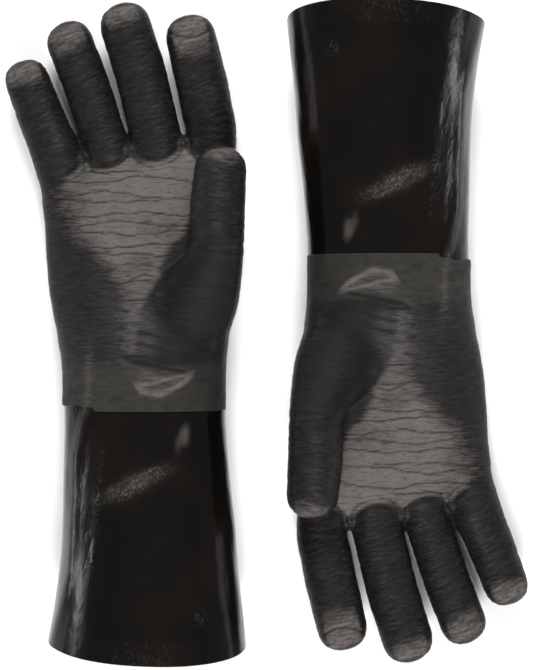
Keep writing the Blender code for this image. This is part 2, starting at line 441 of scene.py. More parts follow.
PALM = (
    Slice(0.0, -24.0, 27.3, 46.4, 29.2, fullness=2.15),
    Slice(0.0, -12.0, 26.6, 46.3, 28.6, fullness=2.2),
    Slice(0.0, 0.0, 26.0, 46.6, 28.0, fullness=2.25),
    Slice(-0.8, 18.0, 23.0, 48.8, 25.0, fullness=2.3),
    Slice(-2.2, 40.0, 19.5, 51.8, 21.5, 1.0, fullness=2.4),
    Slice(-3.3, 65.0, 17.0, 53.4, 19.0, 3.0, fullness=2.4),
    Slice(-3.4, 88.0, 15.4, 54.7, 17.4, 6.0, fullness=2.4),
    Slice(-3.5, 106.0, 14.4, 56.6, 16.0, 9.0, fullness=2.4),
    Slice(-3.2, 121.0, 13.2, 51.4, 10.4, 9.0, fullness=2.3),
)

CUFF = (
    Slice(0.0, 3.0, 25.8, 46.6, 27.8, fullness=2.2),
    Slice(0.0, -8.0, 26.4, 46.4, 28.4, fullness=2.2),
    Slice(0.4, -23.5, 27.0, 46.3, 29.0, fullness=2.15),
    Slice(1.2, -40.0, 28.2, 46.5, 30.2, fullness=2.15),
    Slice(2.1, -62.5, 30.2, 47.3, 32.2, fullness=2.15),
    Slice(3.1, -84.7, 32.8, 48.6, 34.8, fullness=2.15),
    Slice(3.6, -106.6, 35.8, 49.8, 37.8, fullness=2.15),
    Slice(3.5, -128.5, 38.9, 52.2, 40.9, fullness=2.15),
    Slice(3.3, -151.0, 42.4, 55.0, 44.4, -2.5, 8.0, fullness=2.15),
)

RADII = {
    "index": (14.6, 14.9, 14.2),
    "middle": (14.5, 14.9, 14.4),
    "ring": (12.9, 13.5, 13.1),
    "little": (14.5, 13.3, 12.6),
    "thumb": (15.3, 15.4, 13.8),
}

ROOTS = {
    "index": (Slice(36.4, 107.0, 15.0, 14.4, 12.0, 4.0),),
    "middle": (Slice(10.6, 104.0, 15.0, 13.0, 12.0, 10.0),),
    "ring": (Slice(-15.6, 101.0, 15.0, 13.0, 12.0, 14.0),),
    "little": (Slice(-45.0, 96.0, 15.0, 13.0, 12.0, 14.0),),
    "thumb": (
        Slice(20.5, 12.0, 26.0, 25.0, 17.6, 0.0, 12.0),
        Slice(29.5, 40.0, 32.6, 24.6, 18.6, -8.0, 18.0),
    ),
}


@dataclass(frozen=True)
class Anatomy:
    """Where the frame puts the wrist and the digits, in the glove's space."""

    wrist: Vector
    limbs: tuple[Limb, ...]

    FINGER_RISE = 8.0
    THUMB_SPAN = 29.0
    THUMB_LEANS = (-2.0, -5.0)
    THUMB_PITCHES = (-3.0, -6.0)

    @classmethod
    def read(cls, joints: Sequence[dict[str, Any]]) -> "Anatomy":
        """Reads glove a's joints.

        Args:
            joints: The frame's joints, with places in metres.

        Returns:
            The wrist's place on the surface, and the digits about it.
        """
        found = {joint["name"]: joint for joint in joints}
        wrist = Vector(found["wrist_flex_a"]["pos_m"]) / MM
        wrist.z = 0.0
        fingers = [cls._finger(name, found, wrist) for name in FINGER_NAMES]
        return cls(wrist, (*fingers, cls._thumb(found, wrist)))

    @classmethod
    def _finger(cls, name: str, found: dict[str, Any], wrist: Vector) -> Limb:
        """A finger from its two joints, which lie palmward of its centreline, and its end's box."""
        radii = RADII[name]
        drop = [Vector((0.0, 0.0, radius * Limb.FLATNESS)) for radius in radii]
        curl, bend = found[f"{name}_curl_a"], found[f"{name}_knuckle_a"]
        foot = Vector(curl["pos_m"]) / MM - wrist - drop[0]
        knuckle = Vector(bend["pos_m"]) / MM - wrist - drop[1]
        leans = [math.atan2(joint["axis"][1], joint["axis"][0]) for joint in (curl, bend)]
        lean = 2.0 * leans[1] - leans[0]
        end = cls._end(f"{name}_tip_a", knuckle, math.degrees(lean), cls.FINGER_RISE, wrist)
        return Limb(name, foot, knuckle, end, radii, ROOTS[name])

    @classmethod
    def _thumb(cls, found: dict[str, Any], wrist: Vector) -> Limb:
        """The thumb from its joint, its bend a fixed span on, and its end's box."""
        radii = RADII["thumb"]
        foot = Vector(found["thumb_lift_a"]["pos_m"]) / MM - wrist
        foot.z -= radii[0] * Limb.FLATNESS
        facing = Slice(*foot, 1.0, 1.0, cls.THUMB_LEANS[0], cls.THUMB_PITCHES[0])
        knuckle = facing.moved(cls.THUMB_SPAN).centre
        end = cls._end("thumb_stall_a", knuckle, cls.THUMB_LEANS[1], cls.THUMB_PITCHES[1], wrist)
        return Limb("thumb", foot, knuckle, end, radii, ROOTS["thumb"])

    @staticmethod
    def _end(node: str, knuckle: Vector, lean: float, pitch: float, wrist: Vector) -> Vector:
        """The end of a digit that leaves its knuckle that way and reaches as far up as its node."""
        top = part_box(node)[1].y / MM - wrist.y
        way = Slice(0.0, 0.0, 0.0, 1.0, 1.0, lean, pitch).moved(1.0).centre
        return knuckle + way * ((top - knuckle.y) / way.y)


class Survey:
    """What each place on a skin is: its digit, where along and across it, and which way it faces."""

    REACH = (-12.0, 2.0)
    NEAREST = 1.35
    ROOM = -16.0

    def __init__(self, points: np.ndarray, normals: np.ndarray, limbs: Sequence[Limb]) -> None:
        """Finds the nearest digit of each point.

        Args:
            points: Places in the glove's space, one row each.
            normals: The skin's normals there.
            limbs: The digits, fingers first and the thumb last.
        """
        count = len(points)
        self.points, self.normals, self.limbs = points, normals, limbs
        self.digit = np.full(count, -1)
        self.down = np.full(count, -99.0)
        self.side = np.zeros(count)
        self.from_end = np.full(count, 99.0)
        foot = np.zeros((count, 2))
        nearest = np.full(count, self.NEAREST)
        for number, limb in enumerate(limbs):
            seen = limb.survey(points, normals)
            hit = (seen["along"] > self.ROOM) & (seen["close"] < nearest)
            nearest[hit] = seen["close"][hit]
            self.digit[hit] = number
            self.down[hit] = seen["along"][hit]
            self.side[hit] = seen["side"][hit]
            self.from_end[hit] = (sum(limb.spans) - seen["along"])[hit]
            foot[hit] = (limb.foot.x, limb.foot.y)
        self.reach = smoothstep(*self.REACH, self.down)
        self.across = points[:, 0] + self.reach * (foot[:, 0] + self.side - points[:, 0])
        self.along = points[:, 1] + self.reach * (foot[:, 1] + self.down - points[:, 1])
        self.palmward = smoothstep(0.15, 0.75, normals[:, 2])

    def on(self, number: int) -> np.ndarray:
        """1 on that digit beyond its foot, 0 elsewhere."""
        return (self.digit == number).astype(float)

    def flow(self) -> np.ndarray:
        """Across, along and height in millimetres, bending with the digits, one row for each point."""
        return np.stack((self.across, self.along, self.points[:, 2]), 1)


class Relief:
    """The grip coat's creases, puckers, abraded places, painted shade and painted highlights: heights in
    millimetres, and masks from 0 to 1.
    """

    # Up the palm: the pale patch's left and right edges at each height, and how pale it is between them,
    # from abraded coat and painted sheen.
    PALM_EDGES = (
        (-2.0, -12.0, 3.0, 0.0),
        (10.0, -9.0, 2.0, 0.38),
        (25.0, -10.0, 1.0, 0.48),
        (33.0, -10.5, 3.0, 0.54),
        (41.0, -11.0, 7.0, 0.60),
        (50.0, -16.0, 11.5, 0.70),
        (58.0, -25.0, 14.0, 0.74),
        (66.0, -34.0, 18.0, 0.82),
        (74.0, -46.0, 24.0, 0.86),
        (82.0, -51.0, 29.0, 0.86),
        (95.0, -53.0, 31.0, 1.0),
        (114.0, -53.0, 31.0, 0.95),
    )
    SOFT_EDGE = ((40.0, 80.0), (15.0, 38.0))
    LINES = 13
    LINE_GAP = 6.0
    TOP_LINE = 111.0
    # The two sizes of pucker: how far each runs, how far apart they are, their depth and their pattern.
    PUCKERS = ((11.0, 2.5, 0.27, 11), (6.5, 1.4, 0.14, 29))
    ROOT_BOW = 0.03
    # How far the pale pad at each digit's end reaches, and over how far it fades; the pad is abraded coat
    # with a painted highlight.
    PADS = {"index": 32.0, "middle": 22.0, "ring": 25.0, "little": 23.0, "thumb": 19.0}
    PAD_FADE = 20.0
    # The arcs pressed into the pads, each with painted shade in it and a painted highlight on its bank:
    # distance from the end, bow, tilt and strength.
    ARCS = {
        "index": (13.2, -0.03, 0.17, 1.0),
        "ring": (7.6, 0.02, -0.1, 0.6),
        "little": (10.0, -0.02, 0.1, 0.45),
    }
    # The fold at the wrist: where it crosses the middle and its slope.
    FOLD = (3.4, -0.2)
    # The crescent beyond the fold: its lowest place, and its bow on either side of that.
    CRESCENT = (6.0, -14.2)
    CRESCENT_BOWS = (0.055, 0.021)
    FOLD_ECHOES = ((8.0, 0.7), (14.0, 0.4))

    def __init__(self, skin: Survey) -> None:
        """Works out every mark on the skin."""
        self.skin = skin
        self.x, self.y = skin.points[:, 0], skin.points[:, 1]
        count = len(skin.points)
        # dark holds painted shade; the pale mask holds abraded coat with painted highlights and sheen.
        self.height, self.dark, self.abrasion_and_highlight = np.zeros(count), np.zeros(count), np.zeros(count)
        self.on_thumb = skin.on(len(FINGER_NAMES))
        self.palm_abrasion_and_sheen = self._palm_patch()
        self._pucker()
        self._palm_lines()
        self._root_scallops()
        self._joint_lines()
        self._ends()
        self._wrist_fold()
        self._thenar_painted_shade()
        self.height += arm_folds(skin.points)
        self.abrasion_and_highlight = np.clip(np.maximum(self.abrasion_and_highlight, self.palm_abrasion_and_sheen), 0.0, 1.0)

    def rub(self, amount: np.ndarray) -> None:
        """Makes the coat paler at least that much, for abraded places and for painted highlights."""
        self.abrasion_and_highlight = np.maximum(self.abrasion_and_highlight, amount)

    def paint_shade(self, amount: np.ndarray) -> None:
        """Paints shade on the coat, at least that much."""
        self.dark = np.maximum(self.dark, amount)

    def _blotch(self, across: float, along: float, seed: int, octaves: int) -> np.ndarray:
        """Noise in cells of that size over the palm."""
        return fractal(np.stack((self.x / across, self.y / along, self.x * 0), 1), seed, octaves)

    def groove(self, offset: np.ndarray, width: float, depth: float, strength: np.ndarray) -> None:
        """Presses a crease in where offset is 0, with a low bank on each side, and paints shade into the
        crease.

        Args:
            offset: Distance from the crease's line, in millimetres.
            width: The crease's half width.
            depth: How deep it goes.
            strength: From 0 where there is none of it to 1 where it is whole.
        """
        cut = bell(offset, width)
        banks = bell(offset - 2.0 * width, 1.5 * width) + bell(offset + 2.0 * width, 1.5 * width)
        self.height += strength * depth * (0.3 * banks - cut)
        # Painted shade in the crease.
        self.paint_shade(strength * cut)

    def _palm_patch(self) -> np.ndarray:
        """The paler patch of the palm, which narrows to a strip at the heel: partly abraded coat and
        partly painted sheen, laid only on upward faces and kept off the finger roots, which leaves painted
        shadow there.
        """
        skin, x, y = self.skin, self.x, self.y
        rows = np.array(self.PALM_EDGES)
        ragged = 5.0 * self._blotch(18.0, 3.5, 5, 3)
        left, right, level = (np.interp(y, rows[:, 0], rows[:, column]) for column in (1, 2, 3))
        fade = np.interp(y, *self.SOFT_EDGE)
        inside = smoothstep(-10.0, fade - 10.0, x - left + ragged)
        inside *= smoothstep(-1.5, 6.0, right - x + 0.35 * ragged)
        cloud = 1.0 + 0.34 * self._blotch(17.0, 24.0, 12, 2)
        bowed = skin.down - self.ROOT_BOW * skin.side**2
        # The pale patch stops short of the finger roots, which leaves painted shadow there.
        roots = 1.0 - smoothstep(-19.0, -12.5, bowed + 0.3 * ragged)
        roots = np.where((skin.digit >= 0) & (self.on_thumb < 0.5), roots, 1.0)
        return inside * level * cloud * roots * (1.0 - self.on_thumb) * skin.palmward

    def _pucker(self) -> None:
        """Short, shallow cross wrinkles all over the coat, strongest on the fingers, with painted shade in
        their valleys.
        """
        skin = self.skin
        calm = 1.0 - 0.55 * np.clip(self.palm_abrasion_and_sheen * 1.5, 0.0, 1.0)
        for spread, gap, depth, seed in self.PUCKERS:
            places = skin.flow() / np.array((spread, gap, 9.0))
            wave = fractal(places, seed, 2)
            valley = bell(wave, 0.12)
            amount = (0.5 + 0.5 * skin.reach) * calm
            self.height -= depth * valley * amount
            # Painted shade in the wrinkle valleys.
            self.paint_shade(0.65 * valley * amount)
        swell = fractal(skin.flow() / np.array((16.0, 7.0, 16.0)), 41, 2)
        self.height += 0.28 * swell

    def _palm_lines(self) -> None:
        """The long wavy creases across the palm, with painted shade in them."""
        x, y = self.x, self.y
        patch = np.clip(self.palm_abrasion_and_sheen * 1.6, 0.0, 1.0)
        for number in range(self.LINES):
            row = np.stack((x / 15.0, np.full(len(x), 3.7 * number), y / 300.0), 1)
            level = self.TOP_LINE - self.LINE_GAP * number + 1.4 * math.sin(2.4 * number)
            path = level + 1.1 * np.sin(x / 10.0 + 1.9 * number) + 3.2 * fractal(row, 60, 3)
            broken = 0.5 + 0.5 * smoothstep(-0.45, -0.1, fractal(row * 1.1 + 9.0, 70, 2))
            self.groove(y - path, 0.46, 0.7, broken * patch)

    def _root_scallops(self) -> None:
        """The curved crease where each finger's root meets the palm, with painted shade in it and a
        painted highlight on its raised pale bank.
        """
        skin = self.skin
        fingers = ((skin.digit >= 0) & (self.on_thumb < 0.5)).astype(float) * skin.palmward
        offset = skin.down - self.ROOT_BOW * skin.side**2 + 13.5
        reach = 1.0 - smoothstep(8.0, 15.0, np.abs(skin.side))
        self.groove(offset - 1.5, 0.9, 0.55, 0.8 * fingers * reach)
        rim = bell(offset + 1.2, 1.6) * fingers * reach * smoothstep(-50.0, -38.0, self.x)
        # Painted highlight on the raised bank beside the crease.
        self.rub(0.75 * rim)
        self.height += 0.35 * rim

    def _joint_lines(self) -> None:
        """A few deeper creases across each finger's joints, on the palm side, with painted shade in them.
        """
        skin = self.skin
        for number, limb in enumerate(skin.limbs):
            first, second = limb.spans
            share = 0.35 if limb.name == "thumb" else 1.0
            here = share * skin.on(number) * smoothstep(0.0, 0.5, skin.normals[:, 2])
            for joint in (first, first + 0.45 * second):
                for step in (-2.6, 0.0, 2.3):
                    wave = 0.5 * np.sin(skin.side / 3.1 + step * 2.0 + number) + 0.012 * skin.side**2
                    reach = 1.0 - smoothstep(6.0, 12.0, np.abs(skin.side - step))
                    self.groove(skin.down - joint - step - wave, 0.7, 0.34, here * reach * 0.8)

    def _ends(self) -> None:
        """The paler pads at the ends of the digits, partly abraded coat and partly a painted highlight on
        upward faces, and the arcs pressed into them, with painted shade in each arc and a painted
        highlight on its bank and along the thumb's end cap.
        """
        skin = self.skin
        across = np.abs(skin.side)
        for number, limb in enumerate(skin.limbs):
            here = skin.on(number) * smoothstep(0.1, 0.8, skin.normals[:, 2])
            ragged = 2.0 * fractal(skin.flow() / np.array((9.0, 6.0, 9.0)), 80 + number, 2)
            limit = self.PADS[limb.name]
            pad = 1.0 - smoothstep(limit - self.PAD_FADE, limit, skin.from_end + ragged)
            rim = smoothstep(0.5, 4.0, skin.from_end) * (1.0 - smoothstep(8.0, 12.5, across))
            # The pale pad: abraded coat with a painted highlight on upward faces.
            self.rub(0.95 * here * pad * rim)
            if limb.name in self.ARCS:
                level, bow, tilt, strength = self.ARCS[limb.name]
                offset = skin.from_end - level - bow * skin.side**2 - tilt * skin.side
                reach = 1.0 - smoothstep(9.0, 13.0, across)
                self.groove(offset, 0.75, 1.0, strength * here * reach)
                # Painted highlight on the bank beside the arc.
                self.rub(strength * here * reach * bell(offset - 2.0, 1.3))
        # Painted highlight along the edge of the thumb's end cap.
        thumb = self.on_thumb * smoothstep(0.1, 0.7, skin.normals[:, 2])
        cap = bell(skin.from_end - 3.2 - 0.02 * skin.side**2, 0.8)
        self.rub(0.8 * thumb * cap * (1.0 - smoothstep(6.0, 11.0, across)))

    def _thenar_painted_shade(self) -> None:
        """Painted shade on the ball of the thumb and down to the wrist fold."""
        x, y = self.x, self.y
        right = np.interp(y, (-4.0, 10.0, 40.0, 60.0), (30.0, 38.0, 48.0, 50.0))
        inside = smoothstep(4.0, 16.0, x + 0.12 * (40.0 - y)) * smoothstep(-5.0, 9.0, right - x)
        # Painted shade on the ball of the thumb.
        self.paint_shade(0.85 * inside * plateau(y, (-3.0, 4.0), (56.0, 84.0)))

    def _wrist_fold(self) -> None:
        """The fold that the ball of the thumb presses into the wrist, with painted shade in the fold, its
        echoes and on the thumb's side of the wrist, painted highlights on the crescent beyond it, and a
        painted highlight along the long fold's ridge.
        """
        x, y, top = self.x, self.y, self.skin.palmward
        level, slope = self.FOLD
        fold = y - (level + slope * x)
        reach = plateau(x, (-14.0, -3.0), (22.0, 34.0)) * top
        self.height += reach * (0.6 * bell(fold - 6.0, 5.0) - 1.5 * bell(fold, 1.8))
        # Painted shade in the wrist fold.
        self.paint_shade(reach * bell(fold, 1.6))
        # Painted shade on the thumb's side of the wrist.
        self.paint_shade(0.45 * smoothstep(20.0, 32.0, x) * plateau(y, (-26.0, -20.0), (0.0, 8.0)) * top)
        for shift, depth in self.FOLD_ECHOES:
            self.groove(fold - shift - 1.5 * np.sin(x / 9.0 + shift), 1.1, depth, 0.6 * reach)
        self._crescent(fold)
        # Painted highlight along the long fold's ridge, up onto the hand.
        ridge = 0.42 * bell(x - np.interp(y, *ARM_LINE), 3.0)
        self.rub(ridge * (1.0 - smoothstep(4.0, 24.0, y)) * top)

    def _crescent(self, fold: np.ndarray) -> None:
        """The two ridges pushed up beyond the wrist fold, with a painted highlight along each and a
        fainter painted highlight between them.
        """
        x, y = self.x, self.y
        middle, lowest = self.CRESCENT
        bow = np.where(x < middle, *self.CRESCENT_BOWS)
        outer = y - (lowest + bow * (x - middle) ** 2)
        inner = y - (-10.2 + 0.26 * (x + 2.5))
        bank = plateau(x, (-8.0, 1.0), (24.0, 34.0)) * self.skin.palmward
        self.height += bank * (bell(outer - 0.6, 2.4) + 0.5 * bell(inner, 1.5))
        between = 0.5 * smoothstep(-2.0, 2.0, outer) * smoothstep(0.0, -6.0, fold)
        streaks = np.maximum(0.95 * bell(outer - 0.6, 2.6), 0.8 * bell(inner, 2.0))
        soft = bank * (0.85 + 0.4 * self._blotch(9.0, 1.8, 31, 2))
        # Painted highlight along the crescent ridges and, fainter, between them.
        self.rub(soft * np.maximum(streaks, between))


def arm_folds(points: np.ndarray) -> np.ndarray:
    """Heights of the long soft folds that run down the wrist and the cuff, in millimetres."""
    x, y, z = points.T
    middle = np.interp(y, [piece.y for piece in reversed(CUFF)], [piece.z for piece in reversed(CUFF)])
    upper = smoothstep(-4.0, 8.0, z - middle)
    run = (1.0 - smoothstep(8.0, 30.0, y)) * (0.7 + 0.3 * smoothstep(-140.0, -105.0, y))
    ridge = 0.9 * bell(x - np.interp(y, *ARM_LINE), 2.8)
    second = np.interp(y, (-120.0, -60.0, -15.0), (-25.0, -23.0, -19.0))
    faint = (1.0 - smoothstep(-22.0, -10.0, y)) * smoothstep(-125.0, -95.0, y)
    ridge_two = 0.3 * bell(x - second, 2.0)
    third = np.interp(y, (-140.0, -30.0), (44.0, 36.0))
    ridge_three = 0.25 * bell(x - third, 1.8)
    return upper * (run * ridge + faint * (ridge_two + ridge_three))


def read_points(mesh: bpy.types.Mesh) -> tuple[np.ndarray, np.ndarray]:
    """The places and normals of a mesh's vertices, one row each."""
    places, normals = gathered(mesh.vertices, "co", 3), gathered(mesh.vertex_normals, "vector", 3)
    return places.astype(float), normals.astype(float)


def write_points(mesh: bpy.types.Mesh, places: np.ndarray) -> None:
    """Moves a mesh's vertices to places."""
    mesh.vertices.foreach_set("co", places.astype(np.float32).ravel())
    mesh.update()


def mark(mesh: bpy.types.Mesh, name: str, values: np.ndarray) -> None:
    """Stores a number or a vector for each vertex, for the materials to read."""
    vector = values.ndim == 2
    layer = mesh.attributes.new(name, "FLOAT_VECTOR" if vector else "FLOAT", "POINT")
    layer.data.foreach_set("vector" if vector else "value", values.astype(np.float32).ravel())


def on_surface(places: np.ndarray) -> np.ndarray:
    """Presses what would be below the surface flat on it, with a soft turn at the edge."""
    pressed = places.copy()
    pressed[:, 2] = 0.5 * (places[:, 2] + np.sqrt(places[:, 2] ** 2 + TOUCH_SOFTNESS**2))
    return pressed


@dataclass(frozen=True)
class Piece:
    """A finished part of a glove in the glove's space, and how it goes on the frame."""

    name: str
    mesh: bpy.types.Mesh
    finish: str
    bodies: tuple[str, str]
    nodes: tuple[str, ...]
    start: Vector
    end: Vector


def wrist_piece(name: str, mesh: bpy.types.Mesh, finish: str, nodes: tuple[str, ...]) -> Piece:
    """A piece that spans the wrist, between the hand body and the cuff body."""
    start, end = (Vector((0.0, turn, WRIST_RISE)) for turn in (WRIST_TURN, -WRIST_TURN))
    return Piece(name, mesh, finish, ("hand", "cuff"), nodes, start, end)


class HandMaker:
    """Makes the hand of a glove with its digits, in rubber or in cotton, and parts it where it bends."""

    WEB = (4.5, 7.0, 9.5)
    WEB_BACK = 6.0
    FLESH_ROUNDS = 7
    BAND_END = -23.5
    CORNERS = 48

    def __init__(self, anatomy: Anatomy) -> None:
        """Keeps the places that the frame gives."""
        self.limbs = anatomy.limbs

    def outline(self, layer: Layer) -> bpy.types.Mesh:
        """The hand's outer surface as one closed mesh, before any crease."""
        inset, _, feature, rounds = layer.value
        form = Form()
        form.tube([piece.inset(inset) for piece in flowing(PALM, 4)], self.CORNERS, closed=True)
        for limb in self.limbs:
            form.tube(limb.slices(inset), self.CORNERS, closed=True)
        fingers = self.limbs[: len(FINGER_NAMES)]
        for near, far in zip(fingers, fingers[1:]):
            middle = near.foot.lerp(far.foot, 0.5) - Vector((0.0, self.WEB_BACK, 0.0))
            form.bead(middle, tuple(size - inset for size in self.WEB))
        fuse = {"mode": "VOXEL", "voxel_size": feature, "adaptivity": 0.0, "use_smooth_shade": True}
        relax = {"factor": 0.5, "iterations": rounds}
        fused = settled(form.mesh("hand"), (("REMESH", fuse), ("SMOOTH", relax)))
        flesh = {"factor": 0.5, "iterations": rounds * self.FLESH_ROUNDS, "vertex_group": "share"}
        return settled(fused, (("SMOOTH", flesh),), self._fleshy(fused))

    def _fleshy(self, mesh: bpy.types.Mesh) -> np.ndarray:
        """1 where the ball of the thumb runs softly into the palm and the wrist, 0 elsewhere."""
        places, _ = read_points(mesh)
        x, y, z = places.T
        reach = smoothstep(-8.0, 4.0, x) * plateau(y, (-14.0, -4.0), (50.0, 68.0))
        free = smoothstep(46.0, 60.0, y) * smoothstep(30.0, 38.0, z)
        return reach * smoothstep(14.0, 22.0, z) * (1.0 - free)

    def rubber(self) -> bpy.types.Mesh:
        """The rubber's surface with its creases, and the masks that its finish reads."""
        mesh = self.outline(Layer.RUBBER)
        places, normals = read_points(mesh)
        skin = Survey(places, normals, self.limbs)
        relief = Relief(skin)
        moved = places + normals * relief.height[:, None]
        lap = smoothstep(-9.0, self.BAND_END, moved[:, 1])
        moved[:, 1] += lap * self._lap_edge(moved[:, 0])
        write_points(mesh, on_surface(moved))
        mark(mesh, "flow", skin.flow())
        # The pale mask: abraded coat with painted highlights and sheen. The dark mask: painted shade.
        mark(mesh, "abrasion_and_highlight", relief.abrasion_and_highlight)
        mark(mesh, "dark", relief.dark)
        mark(mesh, "lap", 1.0 - smoothstep(-1.0, 7.0, places[:, 1]))
        mark(mesh, "thin", THIN_SHARE + (1.0 - THIN_SHARE) * smoothstep(-2.0, 2.0, places[:, 1]))
        return mesh

    @staticmethod
    def _lap_edge(x: np.ndarray) -> np.ndarray:
        """How far the uneven end of the grip coat is drawn back towards the hand at each place across."""
        step = 3.4 * (1.0 - smoothstep(-27.5, -25.0, x)) - 0.8
        return step + 0.45 * np.sin(x / 7.0) + 0.3 * np.sin(x / 3.1 + 1.0)

    def cotton(self) -> bpy.types.Mesh:
        """The liner's surface."""
        mesh = self.outline(Layer.LINER)
        places, normals = read_points(mesh)
        skin = Survey(places, normals, self.limbs)
        pressed = places.copy()
        pressed[:, 2] = np.maximum(places[:, 2], LINER_INSET)
        write_points(mesh, pressed)
        mark(mesh, "flow", skin.flow())
        return mesh

    def pieces(self, layer: Layer) -> list[Piece]:
        """The hand in that layer, cut across the arm and across each digit.

        Args:
            layer: Rubber or liner.

        Returns:
            The palm first, then each digit's pieces.
        """
        rubber = layer is Layer.RUBBER
        whole = bmesh.new()
        source = self.rubber() if rubber else self.cotton()
        whole.from_mesh(source)
        arm_cut = self.BAND_END if rubber else 0.0
        along = Vector((0.0, 1.0, 0.0))
        self._cut(whole, whole.faces[:], along * arm_cut, along, clear=True)
        for number, limb in enumerate(self.limbs):
            for distance in self._cuts(limb):
                near = self._faces_near(whole, number, distance)
                self._cut(whole, near, limb.at(distance).centre, (limb.knuckle - limb.foot).normalized())
        parts = self._part_numbers(whole)
        layer_number = whole.faces.layers.int.new("part")
        for face, part in zip(whole.faces, parts):
            face[layer_number] = int(part)
        upright = whole.verts.layers.float_vector.new("upright")
        for vert in whole.verts:
            vert[upright] = vert.normal
        made = [self._palm_piece(whole, layer)]
        for number, limb in enumerate(self.limbs):
            made.extend(self._limb_pieces(whole, layer, number, limb))
        whole.free()
        bpy.data.meshes.remove(source)
        return made

    @staticmethod
    def _cut(
        skin: bmesh.types.BMesh, faces: list, place: Vector, way: Vector, clear: bool = False
    ) -> None:
        """Scores faces along a plane, and can clear away what lies behind it."""
        edges = {edge for face in faces for edge in face.edges}
        verts = {vert for face in faces for vert in face.verts}
        geom = [*faces, *edges, *verts]
        bmesh.ops.bisect_plane(
            skin, geom=geom, dist=1e-3, plane_co=place, plane_no=way, clear_inner=clear, clear_outer=False
        )

    @staticmethod
    def _cuts(limb: Limb) -> tuple[float, ...]:
        """Where a digit is cut, as distances from its foot."""
        if limb.name == "thumb":
            return (THUMB_TURN[0] + 0.5,)
        return FOOT_TURN[0] + 0.5, limb.spans[0] - KNUCKLE_TURN - 1.0

    def _survey(self, skin: bmesh.types.BMesh) -> Survey:
        """Surveys the middles of a skin's faces."""
        skin.normal_update()
        middles = np.array([face.calc_center_median() for face in skin.faces], float)
        normals = np.array([face.normal for face in skin.faces], float)
        return Survey(middles, normals, self.limbs)

    def _faces_near(self, skin: bmesh.types.BMesh, number: int, distance: float) -> list:
        """The faces of that digit that are close to the cut at that distance."""
        found = self._survey(skin)
        near = (found.digit == number) & (np.abs(found.down - distance) < 4.0)
        return [face for face, keep in zip(skin.faces, near) if keep]

    def _part_numbers(self, skin: bmesh.types.BMesh) -> np.ndarray:
        """0 on the palm, and 1 and 2 more for each digit before it on a digit's first and second piece."""
        found = self._survey(skin)
        parts = np.zeros(len(skin.faces), int)
        for number, limb in enumerate(self.limbs):
            for step, distance in enumerate(self._cuts(limb)):
                parts[(found.digit == number) & (found.down > distance)] = 1 + 2 * number + step
        return parts

    @staticmethod
    def _part(whole: bmesh.types.BMesh, number: int, name: str) -> bpy.types.Mesh:
        """The faces of one part, as a mesh of their own."""
        copy = whole.copy()
        layer = copy.faces.layers.int["part"]
        others = [face for face in copy.faces if face[layer] != number]
        bmesh.ops.delete(copy, geom=others, context="FACES")
        mesh = bpy.data.meshes.new(name)
        copy.to_mesh(mesh)
        copy.free()
        return mesh

    def _palm_piece(self, whole: bmesh.types.BMesh, layer: Layer) -> Piece:
        """The palm with the back of the hand, and in rubber the band that laps over the cuff."""
        if layer is Layer.RUBBER:
            mesh = walled(self._part(whole, 0, "hand_skin"), RUBBER_WALL, "thin")
            return wrist_piece("hand_skin", mesh, "grip", ("hand_shell", "wrist_band"))
        mesh = walled(self._part(whole, 0, "hand_cotton"), LINER_WALL)
        return wrist_piece("hand_cotton", mesh, "cotton", ("hand_liner",))

    def _limb_pieces(
        self, whole: bmesh.types.BMesh, layer: Layer, number: int, limb: Limb
    ) -> list[Piece]:
        """A finger's foot and end, or the thumb."""
        rubber = layer is Layer.RUBBER
        word, finish, wall = ("skin", "grip", RUBBER_WALL) if rubber else ("cotton", "cotton", LINER_WALL)
        ending = "" if rubber else "_liner"
        if limb.name == "thumb":
            plan = [("thumb", ("hand", "thumb"), "thumb_stall", THUMB_TURN)]
        else:
            first = limb.spans[0]
            base, tip = f"{limb.name}_base", f"{limb.name}_tip"
            plan = [
                (base, ("hand", base), base, FOOT_TURN),
                (tip, (base, tip), tip, (first - KNUCKLE_TURN, first + KNUCKLE_TURN)),
            ]
        made = []
        for step, (name, bodies, node, span) in enumerate(plan):
            mesh = walled(self._part(whole, 1 + 2 * number + step, f"{name}_{word}"), wall)
            start, end = (limb.at(distance).centre for distance in span)
            made.append(Piece(f"{name}_{word}", mesh, finish, bodies, (f"{node}{ending}",), start, end))
        return made


